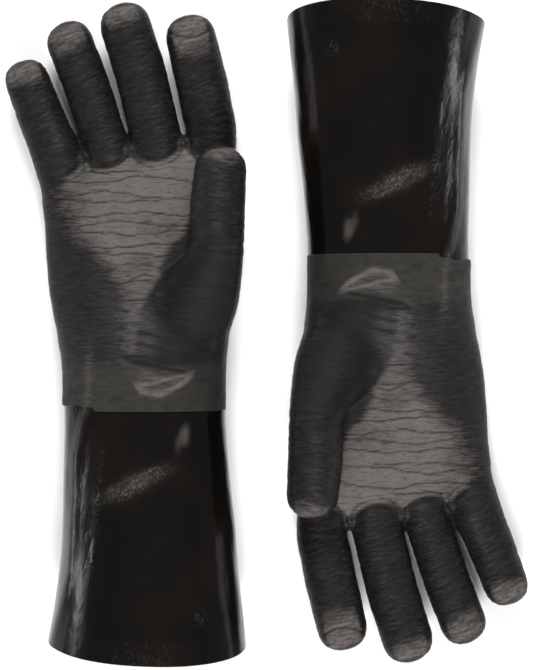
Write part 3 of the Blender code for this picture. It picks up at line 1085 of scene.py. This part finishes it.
class Gauntlet:
    """The long cuff of smooth rubber, and the cotton inside it."""

    CUFF_CORNERS = 184
    CUFF_STEPS = 18
    LINER_CORNERS = 150
    LINER_STEPS = 12
    UNDER_BAND = 0.9
    STEP_DOWN = 0.35
    # How far back of the wrist each tube starts, inside the hand.
    CUFF_START = -8.0
    COTTON_START = -3.0
    COTTON_INSET = 3.7
    COTTON_GIRTH = 46.0
    RECESS = 3.0
    # Where the arm's upper side begins, and over how much height.
    UPPER_SIDE = (35.0, 45.0)
    # The slanting patch with a painted speckled glint: its middle and its slope.
    SCUFF = (-1.0, -62.0, 0.42)

    def cuff(self) -> Piece:
        """The cuff, with the folds along it, lower where the grip coat laps over it."""
        corners, steps = self.CUFF_CORNERS, self.CUFF_STEPS
        run = flowing((CUFF[0].moved(self.CUFF_START), *CUFF[1:]), steps)
        cut = [piece.inset(self._depth(piece.y)) for piece in run]
        form = Form()
        form.tube(cut, corners, closed=False)
        mesh = form.mesh("cuff_skin")
        places, normals = read_points(mesh)
        slow = fractal(places / np.array((26.0, 60.0, 26.0)), 3, 2)
        fine = fractal(places / np.array((7.0, 18.0, 7.0)), 7, 2)
        free = smoothstep(-23.0, -33.0, places[:, 1])
        height = arm_folds(places) + free * (0.9 * slow + 0.16 * fine) + self._swellings(places)
        write_points(mesh, on_surface(places + normals * height[:, None]))
        mark(mesh, "flow", places)
        # Painted glints and streaks, mixed with grime specks, for the finish to read.
        mark(mesh, "grime_and_glint", self._scuffs(places))
        mark(mesh, "painted_glint", self._haze(places))
        return self._on_frame("cuff_skin", mesh, "smooth", RUBBER_WALL, "cuff")

    def cotton(self) -> Piece:
        """The cuff's liner, which stops just inside the open end."""
        run = flowing((CUFF[0].moved(self.COTTON_START), *CUFF[1:]), self.LINER_STEPS)
        run = [piece.inset(self.COTTON_INSET) for piece in run]
        last = run[-1].moved(self.RECESS)
        run = [piece for piece in run[:-1] if piece.y > last.y] + [last]
        form = Form()
        form.tube(run, self.LINER_CORNERS, closed=False)
        mesh = form.mesh("cuff_cotton")
        places, normals = read_points(mesh)
        soft = fractal(places / np.array((15.0, 30.0, 15.0)), 17, 2)
        turn = gathered(mesh.attributes["turn"].data, "value")
        around = np.abs((turn + 1.5 * math.pi) % (2 * math.pi) - math.pi) * self.COTTON_GIRTH
        lowest = LINER_INSET + RUBBER_WALL * 0.5
        moved = places + normals * (0.25 * soft)[:, None]
        moved[:, 2] = np.maximum(moved[:, 2], lowest)
        write_points(mesh, moved)
        mark(mesh, "flow", np.stack((around, places[:, 1], places[:, 2] * 0), 1))
        return self._on_frame("cuff_cotton", mesh, "cotton", LINER_WALL, "cuff_liner")

    @staticmethod
    def _on_frame(name: str, mesh: bpy.types.Mesh, finish: str, wall: float, node: str) -> Piece:
        """A tube of the arm, with its wall."""
        mark(mesh, "upright", read_points(mesh)[1])
        return wrist_piece(name, walled(mesh, wall), finish, (node,))

    def _depth(self, y: float) -> float:
        """How far the cuff's surface is in from the outline: more under the lapped band."""
        free = float(smoothstep(-24.0, -70.0, np.array(y)))
        return self.UNDER_BAND + (self.STEP_DOWN - self.UNDER_BAND) * free

    @classmethod
    def _slant(cls, x: np.ndarray, y: np.ndarray) -> np.ndarray:
        """How far places lie from the line of the slanting painted glint."""
        middle, level, slope = cls.SCUFF
        return (y - level) - slope * (x - middle)

    @classmethod
    def _swellings(cls, places: np.ndarray) -> np.ndarray:
        """Two low swellings on the upper side of the cuff that catch the light."""
        x, y, z = places.T
        upper = smoothstep(*cls.UPPER_SIDE, z)
        first = bell((x + 3.0) + 0.8 * (y + 60.0), 16.0) * bell((y + 61.0) - 0.35 * (x + 1.0), 5.0)
        second = bell(x - 24.0 - 0.2 * (y + 38.0), 4.0) * bell(y + 38.0, 8.0)
        return upper * (0.9 * first + 0.9 * second)

    @classmethod
    def _scuffs(cls, places: np.ndarray) -> np.ndarray:
        """Where the cuff is paler and duller, in ragged specks: a painted glint on the slanting patch, a
        painted faint streak beside the long fold, a patch on the thumb's side and a paler band near the
        open end.
        """
        x, y, z = places.T
        upper = smoothstep(*cls.UPPER_SIDE, z)
        first = bell(cls._slant(x, y), 5.5) * bell(x + 1.0, 17.0)
        path = np.interp(y, (-117.0, -91.0, -64.0, -38.0), (-27.9, -23.6, -22.9, -20.6))
        column = bell(x - path, 1.8) * smoothstep(-125.0, -95.0, y)
        column = column * (1.0 - smoothstep(-50.0, -30.0, y))
        specks = bell(x - 34.0, 5.0) * bell(y + 132.0, 5.0)
        rim = 0.3 * smoothstep(-141.0, -147.0, y) * bell(x - 5.0, 26.0)
        ragged = 0.6 + 0.6 * fractal(places / 4.0, 23, 3)
        return np.clip(upper * (1.15 * first + 0.45 * column + 0.45 * specks + rim) * ragged, 0.0, 1.0)

    @classmethod
    def _haze(cls, places: np.ndarray) -> np.ndarray:
        """A smooth painted glint, with the shine dulled under it: near the band, along the long fold and
        round the slanting patch.
        """
        x, y, z = places.T
        upper = smoothstep(*cls.UPPER_SIDE, z)
        ragged = 0.8 + 0.7 * fractal(places / np.array((4.0, 6.0, 4.0)), 37, 3)
        lean = x - 23.0 - 0.22 * (y + 38.0)
        patch = bell(lean, 3.6 - 0.09 * (y + 38.0)) * bell(y + 38.5, 8.0)
        patch = 0.9 * smoothstep(0.1, 1.0, patch * ragged)
        fold = 0.45 * bell(x - np.interp(y, *ARM_LINE), 1.6) * smoothstep(-128.0, -100.0, y) * ragged
        first = 0.4 * bell(cls._slant(x, y), 4.5) * bell(x + 3.0, 14.0) * ragged
        return np.clip(upper * np.maximum(np.maximum(patch, fold), first), 0.0, 1.0)


def walled(mesh: bpy.types.Mesh, wall: float, thin: str = "") -> bpy.types.Mesh:
    """Gives a skin its thickness, inwards, and keeps the light on it as it was before the skin was parted.

    Args:
        mesh: The skin, with its undivided normals in the attribute "upright".
        wall: Its thickness.
        thin: A vertex attribute that thins the wall where it is below 1, or nothing.

    Returns:
        The skin with its wall and with rims along its open edges.
    """
    count = len(mesh.vertices)
    settings = {"thickness": wall, "offset": -1.0, "use_even_offset": False, "use_rim": True}
    made = settled(mesh, (("SOLIDIFY", settings),))
    normals = gathered(made.attributes["upright"].data, "vector", 3)
    normals[count:] *= -1.0
    if thin:
        share = gathered(made.attributes[thin].data, "value")
        places, _ = read_points(made)
        inner = np.arange(len(places)) >= count
        drawn = wall * (1.0 - share) * inner
        write_points(made, places - normals * drawn[:, None])
    corners = gathered(made.loops, "vertex_index", kind=np.int32)
    starts = gathered(made.polygons, "loop_start", kind=np.int32)
    sizes = gathered(made.polygons, "loop_total", kind=np.int32)
    flats = gathered(made.polygons, "normal", 3)
    outside = np.add.reduceat((corners < count).astype(int), starts)
    rim = (outside > 0) & (outside < sizes)
    on_rim = np.repeat(rim, sizes)
    shown = normals[corners]
    shown[on_rim] = np.repeat(flats, sizes, axis=0)[on_rim]
    made.shade_smooth()
    made.normals_split_custom_set(shown.tolist())
    made.attributes.remove(made.attributes["upright"])
    return made


def operator(operation: str, swapped: bool = False) -> Callable[["Reading", Any], "Reading"]:
    """Makes an operator of readings.

    Args:
        operation: The Math node's operation.
        swapped: Whether the reading is the second term.

    Returns:
        A function of a reading and the other term.
    """

    def work(reading: "Reading", other: Any) -> "Reading":
        """Adds the node."""
        return reading.through(operation, *((other, reading) if swapped else (reading, other)))

    return work


class Reading:
    """A number on a socket. Sums with it add the nodes that work them out."""

    __add__, __radd__ = operator("ADD"), operator("ADD", swapped=True)
    __sub__, __rsub__ = operator("SUBTRACT"), operator("SUBTRACT", swapped=True)
    __mul__, __rmul__ = operator("MULTIPLY"), operator("MULTIPLY", swapped=True)

    def __init__(self, board: "Board", socket: bpy.types.NodeSocket) -> None:
        """Keeps the board that the socket is on."""
        self.board, self.socket = board, socket

    def through(self, operation: str, *terms: Any) -> "Reading":
        """The result of one Math node."""
        node = self.board.node("ShaderNodeMath", {"operation": operation}, dict(enumerate(terms)))
        return Reading(self.board, node.outputs[0])

    def wave(self) -> "Reading":
        """The sine, in radians."""
        return self.through("SINE", self)

    def size(self) -> "Reading":
        """The number without its sign."""
        return self.through("ABSOLUTE", self)

    def between(self, low: float, high: float) -> "Reading":
        """Rises smoothly from 0 at low to 1 at high."""
        settings = {"interpolation_type": "SMOOTHSTEP", "clamp": True}
        inputs = {"Value": self, "From Min": low, "From Max": high}
        return Reading(self.board, self.board.node("ShaderNodeMapRange", settings, inputs).outputs[0])

    def scaled(self, low: float, high: float) -> "Reading":
        """Runs straight from low where the number is 0 to high where it is 1."""
        return self * (high - low) + low


Colour = tuple[float, float, float]


class Board:
    """The nodes of one material."""

    def __init__(self, name: str) -> None:
        """Starts a material with its shader and output."""
        self.material = bpy.data.materials.new(name)
        self.material.use_nodes = True
        self.tree = self.material.node_tree
        self.tree.nodes.clear()
        self.shader = self.node("ShaderNodeBsdfPrincipled")
        self.node("ShaderNodeOutputMaterial", inputs={"Surface": self.shader.outputs[0]})

    def node(
        self, kind: str, settings: dict[str, Any] | None = None, inputs: dict[Any, Any] | None = None
    ) -> bpy.types.Node:
        """Adds a node.

        Args:
            kind: The node's type.
            settings: Its properties, which are set first.
            inputs: Values or links for its sockets, by name or number.

        Returns:
            The node.
        """
        made = self.tree.nodes.new(kind)
        for name, value in (settings or {}).items():
            setattr(made, name, value)
        self._feed(made, inputs or {})
        return made

    def _feed(self, node: bpy.types.Node, values: dict[Any, Any]) -> None:
        """Sets a node's sockets from numbers, colours or links."""
        for key, value in values.items():
            if isinstance(value, Reading):
                value = value.socket
            if isinstance(value, bpy.types.NodeSocket):
                self.tree.links.new(value, node.inputs[key])
            else:
                node.inputs[key].default_value = value

    def attribute(self, name: str) -> bpy.types.Node:
        """Reads an attribute of the mesh."""
        return self.node("ShaderNodeAttribute", {"attribute_name": name, "attribute_type": "GEOMETRY"})

    def amount(self, name: str) -> Reading:
        """Reads a number that the mesh carries."""
        return Reading(self, self.attribute(name).outputs["Fac"])

    def grain(
        self, place: Any, scale: Sequence[float], detail: float = 3.0, rough: float = 0.5
    ) -> Reading:
        """Noise that is stretched differently along each axis.

        Args:
            place: The socket with the place.
            scale: Cells to the millimetre along each axis.
            detail: How many finer layers it has.
            rough: How strong they are.

        Returns:
            A number from 0 to 1, about a half on average.
        """
        spread = self.node("ShaderNodeMapping", {}, {"Vector": place, "Scale": tuple(scale)})
        inputs = {"Vector": spread.outputs[0], "Scale": 1.0, "Detail": detail, "Roughness": rough}
        return Reading(self, self.node("ShaderNodeTexNoise", {}, inputs).outputs["Fac"])

    def mix(self, share: Any, first: Any, second: Any) -> bpy.types.NodeSocket:
        """Mixes two colours.

        Args:
            share: How much of the second, a number or a reading.
            first: A colour or its socket.
            second: A colour or its socket.

        Returns:
            The socket with the mixed colour.
        """
        colours = [(*item, 1.0) if isinstance(item, tuple) else item for item in (first, second)]
        inputs = {0: share, 6: colours[0], 7: colours[1]}
        return self.node("ShaderNodeMix", {"data_type": "RGBA", "clamp_factor": True}, inputs).outputs[2]

    def bump(self, height: Reading, depth: float) -> bpy.types.NodeSocket:
        """A normal roughened by height, which is depth millimetres from 0 to 1."""
        inputs = {"Strength": 1.0, "Distance": depth * MM, "Height": height}
        return self.node("ShaderNodeBump", {}, inputs).outputs[0]

    def finish(self, values: dict[str, Any]) -> bpy.types.Material:
        """Sets the shader's sockets from numbers, colours or links, and gives the material."""
        self._feed(self.shader, values)
        return self.material


@dataclass(frozen=True)
class GripCoat:
    """The satin grip coat on the hand: charcoal with fine streaks, paler and duller where abraded and
    where highlights and sheen are painted, with painted shade in its creases and streak grooves.
    """

    slot: str = "grip_rubber"
    dark: Colour = (0.0074, 0.0070, 0.0063)
    light: Colour = (0.0172, 0.0163, 0.0148)
    # Pale tones for abraded coat and for painted highlights and sheen.
    worn: Colour = (0.094, 0.079, 0.077)
    abraded_and_highlight_grey: Colour = (0.091, 0.085, 0.077)
    band: Colour = (0.026, 0.0245, 0.0215)
    # Painted shade colour for creases, wrinkles, streak grooves and the ball of the thumb.
    crease: Colour = (0.0022, 0.0021, 0.0020)
    fleck: Colour = (0.24, 0.21, 0.2)
    roughness: tuple[float, float] = (0.42, 0.60)
    shine: float = 0.13

    def material(self) -> bpy.types.Material:
        """Builds the finish."""
        board = Board(self.slot)
        flow = board.attribute("flow").outputs["Vector"]
        streak = board.grain(flow, (0.16, 1.05, 0.16), 3.0, 0.6)
        fine = board.grain(flow, (0.5, 2.3, 0.5), 2.0, 0.5)
        cloud = board.grain(flow, (0.07, 0.09, 0.07), 3.0, 0.55)
        speck = board.grain(flow, (1.1, 1.1, 1.1), 2.0, 0.6)
        tint = board.grain(flow, (0.05, 0.05, 0.05), 2.0, 0.5)
        abrasion_and_highlight, dark, lap = board.amount("abrasion_and_highlight"), board.amount("dark"), board.amount("lap")
        ground = board.mix(streak.between(0.32, 0.72), self.dark, self.light)
        ground = board.mix(lap * cloud.between(0.2, 0.6), ground, self.band)
        # The pale coat: abraded places with painted highlights and sheen.
        cover = abrasion_and_highlight * (0.55 + 0.9 * cloud)
        bare = 0.35 * streak.between(0.62, 0.38) * (1.0 - abrasion_and_highlight)
        patchy = (cover - bare).between(0.02, 0.95)
        pale_tone = board.mix(tint.between(0.34, 0.68), self.worn, self.abraded_and_highlight_grey)
        colour = board.mix(patchy, ground, pale_tone)
        # Painted shade from the dark mask.
        colour = board.mix(0.8 * dark, colour, self.crease)
        # Painted shade in the fine streak grooves.
        colour = board.mix(0.4 * streak.between(0.50, 0.34) * (1.0 - 0.6 * lap), colour, self.crease)
        colour = board.mix(0.35 * speck.between(0.55, 0.8) * abrasion_and_highlight, colour, self.fleck)
        low, high = self.roughness
        dull = (0.55 * abrasion_and_highlight + 0.6 * lap + 0.35 * speck + 0.9 * dark).between(0.0, 1.4) * 1.4
        height = 0.5 * streak + 0.35 * fine + 0.15 * speck
        return board.finish(
            {
                "Base Color": colour,
                "Roughness": dull.scaled(low, high),
                "Normal": board.bump(height, 0.34),
                "Specular IOR Level": self.shine,
            }
        )


@dataclass(frozen=True)
class SmoothRubber:
    """The glossy, almost black rubber of the cuff, with grime specks, painted glints and painted streaks.
    """

    slot: str = "smooth_rubber"
    deep: Colour = (0.0022, 0.0020, 0.0017)
    brown: Colour = (0.0046, 0.0030, 0.0023)
    # Pale colour for grime specks and for painted glints.
    grime_and_glint_colour: Colour = (0.105, 0.100, 0.088)
    # Colour of the smooth painted glints.
    painted_glint_colour: Colour = (0.074, 0.066, 0.060)
    roughness: tuple[float, float] = (0.16, 0.28)
    shine: float = 0.25

    def material(self) -> bpy.types.Material:
        """Builds the finish."""
        board = Board(self.slot)
        flow = board.attribute("flow").outputs["Vector"]
        cloud = board.grain(flow, (0.035, 0.02, 0.035), 3.0, 0.5)
        speck = board.grain(flow, (0.85, 0.6, 0.85), 3.0, 0.65)
        peel = board.grain(flow, (0.22, 0.13, 0.22), 2.0, 0.5)
        scratch = board.grain(flow, (1.6, 0.10, 1.6), 2.0, 0.5)
        grime_and_glint, painted_glint = board.amount("grime_and_glint"), board.amount("painted_glint")
        ground = board.mix(cloud.between(0.35, 0.7), self.deep, self.brown)
        # Grime specks, with the painted speckled glint and faint streak.
        grime_and_glint_share = grime_and_glint * 1.1 * speck.between(0.40, 0.66) + 0.05 * speck.between(0.62, 0.8)
        grime_and_glint_share = grime_and_glint_share.between(0.0, 1.0)
        colour = board.mix(grime_and_glint_share * 0.85, ground, self.grime_and_glint_colour)
        # The smooth painted glints.
        colour = board.mix(0.75 * painted_glint, colour, self.painted_glint_colour)
        low, high = self.roughness
        dull = 0.5 * cloud + 0.3 * scratch.between(0.5, 0.8) + 0.9 * grime_and_glint_share + 0.5 * painted_glint
        height = 0.7 * peel + 0.18 * speck + 0.12 * scratch
        return board.finish(
            {
                "Base Color": colour,
                "Roughness": dull.between(0.0, 1.3).scaled(low, high),
                "Normal": board.bump(height, 0.30),
                "Specular IOR Level": self.shine,
            }
        )


@dataclass(frozen=True)
class CottonKnit:
    """The knitted cotton liner: undyed, with wales that run along the arm and painted shade in the knit's
    hollows.
    """

    slot: str = "cotton"
    pale: Colour = (0.62, 0.585, 0.51)
    shade: Colour = (0.40, 0.37, 0.31)
    wale: float = 1.5
    course: float = 1.1
    roughness: float = 0.9
    shine: float = 0.2

    def material(self) -> bpy.types.Material:
        """Builds the finish."""
        board = Board(self.slot)
        flow = board.attribute("flow").outputs["Vector"]
        parts = board.node("ShaderNodeSeparateXYZ", {}, {0: flow}).outputs
        across, along = Reading(board, parts[0]), Reading(board, parts[1])
        fibre = board.grain(flow, (1.2, 1.2, 1.2), 3.0, 0.6)
        leg = (across * (math.pi / self.wale)).wave().size()
        stitch = ((along * (2.0 / self.course) + leg * 1.1) * math.pi).wave() * 0.5 + 0.5
        height = leg * (0.62 + 0.38 * stitch) + 0.25 * fibre
        # Painted shade in the knit's hollows: darker where the knit is low.
        colour = board.mix(height.between(0.12, 0.75), self.shade, self.pale)
        return board.finish(
            {
                "Base Color": colour,
                "Roughness": self.roughness,
                "Normal": board.bump(height, 0.42),
                "Specular IOR Level": self.shine,
            }
        )


@dataclass(frozen=True)
class Lamp:
    """A soft light: its place, what it is turned to, its size, its power and how widely it shines."""

    place: tuple[float, float, float]
    aim: tuple[float, float, float]
    wide: float
    long: float
    power: float
    spread: float = 180.0


@dataclass(frozen=True)
class Studio:
    """A pale floor, soft lights on all four sides and a camera straight above."""

    floor_size: float = 8.0
    floor_drop: float = 0.0004
    floor_colour: Colour = (0.86, 0.86, 0.86)
    camera_height: float = 0.975
    camera_back: float = -0.0014
    lens: float = 90.18
    sky: float = 0.22
    lamps: tuple[Lamp, ...] = (
        Lamp((0.0, 1.10, 0.95), (0.0, 0.0, 0.0), 0.6, 0.5, 25.0),
        Lamp((-0.90, 0.22, 0.25), (-0.07, -0.04, 0.05), 0.50, 0.06, 0.085, 34.0),
    )

    def floor(self) -> None:
        """Lays the floor."""
        sheet = bmesh.new()
        bmesh.ops.create_grid(sheet, x_segments=1, y_segments=1, size=self.floor_size / 2)
        bmesh.ops.translate(sheet, verts=sheet.verts[:], vec=(0.0, 0.0, -self.floor_drop))
        mesh = bpy.data.meshes.new("floor")
        sheet.to_mesh(mesh)
        sheet.free()
        board = Board("studio_paper")
        values = {"Base Color": (*self.floor_colour, 1.0), "Roughness": 0.8, "Specular IOR Level": 0.2}
        mesh.materials.append(board.finish(values))
        ground = linked("floor", mesh)

    def lights(self) -> None:
        """Hangs each soft light and its fellow opposite, and sets the even light of the room."""
        for number, lamp in enumerate(self.lamps):
            for sign in (1, -1):
                light = bpy.data.lights.new(f"soft_light_{number}_{sign}", "AREA")
                light.shape, light.size, light.size_y = "RECTANGLE", lamp.wide, lamp.long
                light.energy, light.spread = lamp.power, math.radians(lamp.spread)
                turn = Matrix.Diagonal((sign, sign, 1.0))
                place, aim = turn @ Vector(lamp.place), turn @ Vector(lamp.aim)
                item = linked(light.name, light)
                item.location = place
                item.rotation_euler = (aim - place).to_track_quat("-Z", "Y").to_euler()
        world = bpy.data.worlds.new("studio_air")
        world.use_nodes = True
        sky = world.node_tree.nodes["Background"]
        sky.inputs["Color"].default_value = (1.0, 1.0, 1.0, 1.0)
        sky.inputs["Strength"].default_value = self.sky
        bpy.context.scene.world = world

    def camera(self) -> None:
        """Puts the camera above the pair, looking straight down."""
        lens = bpy.data.cameras.new("camera")
        lens.lens, lens.sensor_width = self.lens, 36.0
        item = linked("camera", lens)
        item.location = (0.0, self.camera_back, self.camera_height)
        bpy.context.scene.camera = item
        bpy.context.scene.view_settings.view_transform = "Standard"


class Glove:
    """One glove of the pair, made of copies of the shared pieces."""

    SLOTS = {"grip": "grip_rubber", "smooth": "smooth_rubber", "cotton": "cotton"}

    def __init__(self, side: Side, wrist: Vector, finishes: dict[str, bpy.types.Material]) -> None:
        """Works out how the glove's space sits in the row frame.

        Args:
            side: Which glove.
            wrist: Where glove a's wrist is.
            finishes: The materials by finish.
        """
        self.side, self.finishes = side, finishes
        turn = Matrix.Rotation(math.radians(side.turn), 4, "Z")
        self.place = turn @ Matrix.Translation(wrist * MM) @ Matrix.Scale(MM, 4)

    def put(self, piece: Piece) -> None:
        """Puts a copy of a piece in its place on the frame."""
        letter = self.side.letter
        mesh = piece.mesh.copy()
        mesh.name = f"{piece.name}_{letter}"
        mesh.transform(self.place)
        mesh.materials.clear()
        mesh.materials.append(self.finishes[piece.finish])
        item = linked(mesh.name, mesh)
        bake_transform(item)
        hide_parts(*(f"{node}_{letter}" for node in piece.nodes))


def main() -> None:
    """Builds both gloves round the frame, and then the studio."""
    logging.basicConfig(level=logging.INFO, format="%(message)s", stream=sys.stdout)
    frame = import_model()
    anatomy = Anatomy.read(frame["joints"])
    hand, arm = HandMaker(anatomy), Gauntlet()
    pieces = [*hand.pieces(Layer.RUBBER), *hand.pieces(Layer.LINER), arm.cuff(), arm.cotton()]
    finishes = {
        "grip": GripCoat().material(),
        "smooth": SmoothRubber().material(),
        "cotton": CottonKnit().material(),
    }
    for side in Side:
        glove = Glove(side, anatomy.wrist, finishes)
        for piece in pieces:
            glove.put(piece)
    for piece in pieces:
        bpy.data.meshes.remove(piece.mesh)
    studio = Studio()
    studio.floor()
    studio.lights()
    studio.camera()


if __name__ == "__main__":
    main()
